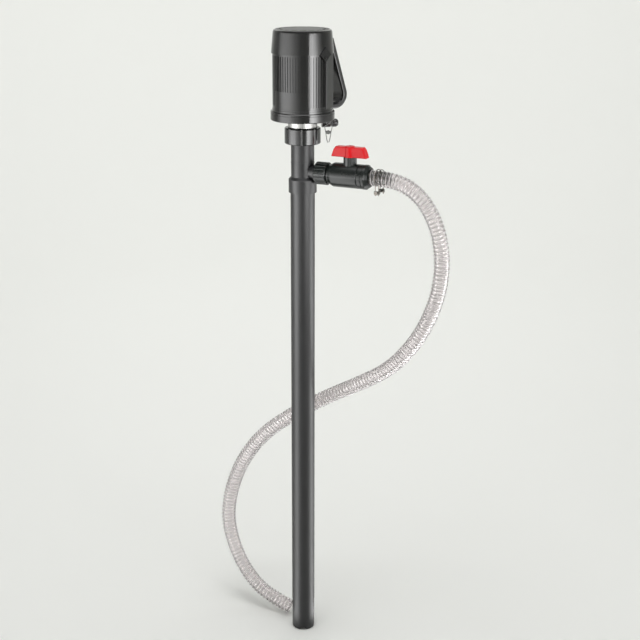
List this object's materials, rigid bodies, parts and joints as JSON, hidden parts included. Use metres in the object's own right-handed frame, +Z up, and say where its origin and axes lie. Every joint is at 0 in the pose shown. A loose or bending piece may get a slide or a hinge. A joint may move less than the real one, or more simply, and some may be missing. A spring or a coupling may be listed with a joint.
{
  "type": "electric drum pump",
  "caption": "Electric drum pump: capped motor on a long suction tube, with a side branch, red-handled ball valve and clear delivery hose.",
  "frame": {"origin": "on the suction tube's axis, at the lower mouth of the tee, where a drum bung takes hold of the tube", "axes": "+Z up along the suction tube towards the motor, +X along the discharge branch and its valve, +Y completes a right-handed set"},
  "size_m": [0.5551, 0.1568, 1.327],
  "materials": {
    "motor_plastic": "moulded gloss black",
    "nut_plastic": "moulded satin black",
    "pipe_plastic": "extruded charcoal, soft sheen",
    "valve_plastic": "moulded dark grey-green",
    "red_plastic": "moulded red",
    "bright_aluminium": "turned and polished",
    "plated_steel": "zinc plated",
    "shaft_steel": "ground stainless steel",
    "core_steel": "stacked laminations",
    "copper": "enamelled copper wire",
    "brass": "drawn brass",
    "carbon": "pressed carbon",
    "black_rubber": "moulded rubber",
    "white_polymer": "turned low-friction polymer",
    "fan_plastic": "moulded",
    "clear_hose": "clear ribbed hose"
  },
  "bodies": {
    "root": {"suction_tube": "pipe_plastic", "foot_strainer": "pipe_plastic", "vane_carrier": "pipe_plastic", "foot_bush": "white_polymer", "shaft_guides": "pipe_plastic", "discharge_tee": "pipe_plastic", "branch_o_ring": "black_rubber", "shaft_seal": "black_rubber", "ball_bearings": "shaft_steel", "mounting_collar": "bright_aluminium", "nut_snap_ring": "plated_steel", "collar_o_ring": "black_rubber", "collar_screws": "plated_steel", "motor_base": "motor_plastic", "base_screws": "plated_steel", "motor_housing": "motor_plastic", "motor_cap": "motor_plastic", "cap_screws": "plated_steel", "motor_handle": "motor_plastic", "field_core": "core_steel", "field_coils": "copper", "carbon_brushes": "carbon", "brush_holders": "brass", "upper_bearing_bracket": "bright_aluminium", "gland_body": "nut_plastic", "gland_nut": "nut_plastic", "gland_seal": "black_rubber", "earth_bracket": "plated_steel", "earth_screw": "plated_steel", "valve_tail": "valve_plastic", "valve_body": "valve_plastic", "ball_seats": "white_polymer", "seat_retainer": "valve_plastic", "hose_barb": "valve_plastic", "clamp_band": "plated_steel", "clamp_bolt": "plated_steel", "clamp_nut": "plated_steel", "discharge_hose": "clear_hose"},
    "drive_train": {"drive_shaft": "shaft_steel", "impeller": "white_polymer", "impeller_nut": "shaft_steel", "lower_coupling_half": "fan_plastic", "upper_coupling_half": "fan_plastic", "motor_shaft": "shaft_steel", "armature_core": "core_steel", "armature_winding": "copper", "commutator": "copper", "cooling_fan": "fan_plastic"},
    "union_nut": {"union_nut": "nut_plastic"},
    "branch_nut": {"branch_nut": "valve_plastic"},
    "valve_end_nut": {"valve_end_nut": "valve_plastic"},
    "valve_rotor": {"valve_ball": "white_polymer", "valve_stem": "valve_plastic", "stem_o_ring": "black_rubber", "valve_handle": "red_plastic", "handle_screw": "plated_steel"},
    "earth_clip": {"clip_still_jaw": "plated_steel", "clip_pin": "plated_steel", "clip_spring": "plated_steel"},
    "clip_jaw": {"clip_sprung_jaw": "plated_steel"}
  },
  "joints": [
    {"name": "drive_spin", "type": "hinge", "parent": "root", "child": "drive_train", "pos_m": [0, 0, 0], "axis": [0, 0, 1], "continuous": true},
    {"name": "union_nut_turn", "type": "hinge", "parent": "root", "child": "union_nut", "pos_m": [0, 0, 0.116], "axis": [0, 0, 1], "range_deg": [0, 360]},
    {"name": "branch_nut_turn", "type": "hinge", "parent": "root", "child": "branch_nut", "pos_m": [0.044, 0, 0.042], "axis": [1, 0, 0], "range_deg": [0, 360]},
    {"name": "end_nut_turn", "type": "hinge", "parent": "root", "child": "valve_end_nut", "pos_m": [0.139, 0, 0.042], "axis": [1, 0, 0], "range_deg": [0, 360]},
    {"name": "valve_turn", "type": "hinge", "parent": "root", "child": "valve_rotor", "pos_m": [0.105, 0, 0.042], "axis": [0, 0, 1], "range_deg": [-90, 0]},
    {"name": "clip_swing", "type": "hinge", "parent": "root", "child": "earth_clip", "pos_m": [0.05479, 0.00479, 0.1439], "axis": [0.9063, 0.4226, 0], "range_deg": [-35, 35]},
    {"name": "clip_open", "type": "hinge", "parent": "earth_clip", "child": "clip_jaw", "pos_m": [0.05479, 0.00479, 0.1249], "axis": [0.4226, -0.9063, 0], "range_deg": [0, 18], "stiffness_Nm_per_rad": 0.02, "springref_deg": -20.05}
  ]
}
